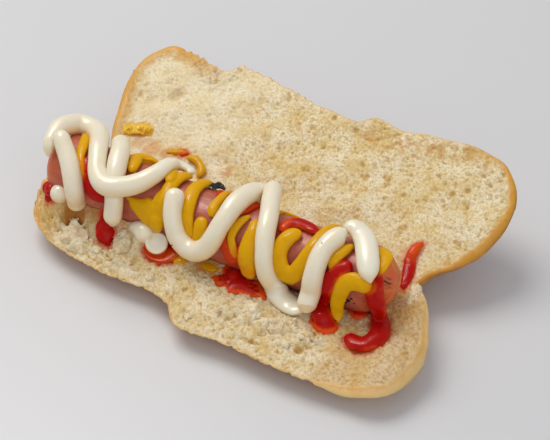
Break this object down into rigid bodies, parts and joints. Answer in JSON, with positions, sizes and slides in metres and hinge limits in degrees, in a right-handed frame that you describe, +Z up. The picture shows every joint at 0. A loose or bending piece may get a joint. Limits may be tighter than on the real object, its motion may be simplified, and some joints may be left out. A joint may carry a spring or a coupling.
{
  "type": "hot dog",
  "caption": "Hot dog served open: a split soft roll lying wide with a boiled sausage along the join, and ketchup, mustard and mayonnaise piped over it in zigzags.",
  "frame": {"origin": "on the flat underside of the roll, straight below the middle of the sausage", "axes": "+X along the sausage and the roll's length, +Y towards the opened-out far half of the roll, +Z up"},
  "size_m": [0.1598, 0.1111, 0.0414],
  "materials": {
    "bread": "soft baked bread, pale open crumb inside and thin golden crust outside, matt",
    "sausage_skin": "moist boiled sausage skin, pinkish brown with a few scorched specks",
    "ketchup": "wet glossy tomato sauce",
    "mustard": "smooth satin mustard",
    "mayonnaise": "smooth ivory mayonnaise with a soft gloss"
  },
  "bodies": {
    "root": {"bun": "bread", "sausage": "sausage_skin", "ketchup_left": "ketchup", "ketchup_under_curl": "ketchup", "ketchup_middle": "ketchup", "ketchup_arch": "ketchup", "ketchup_right_stripe": "ketchup", "ketchup_hook": "ketchup", "ketchup_far_streak": "ketchup", "mustard_left": "mustard", "mustard_back": "mustard", "mustard_swath": "mustard", "mustard_bend": "mustard", "mustard_short": "mustard", "mustard_middle": "mustard", "mustard_drop": "mustard", "mustard_bowl": "mustard", "mustard_right": "mustard", "mustard_far_blob": "mustard", "mayo_loop": "mayonnaise", "mayo_curl": "mayonnaise", "mayo_zigzag": "mayonnaise"}
  },
  "joints": []
}
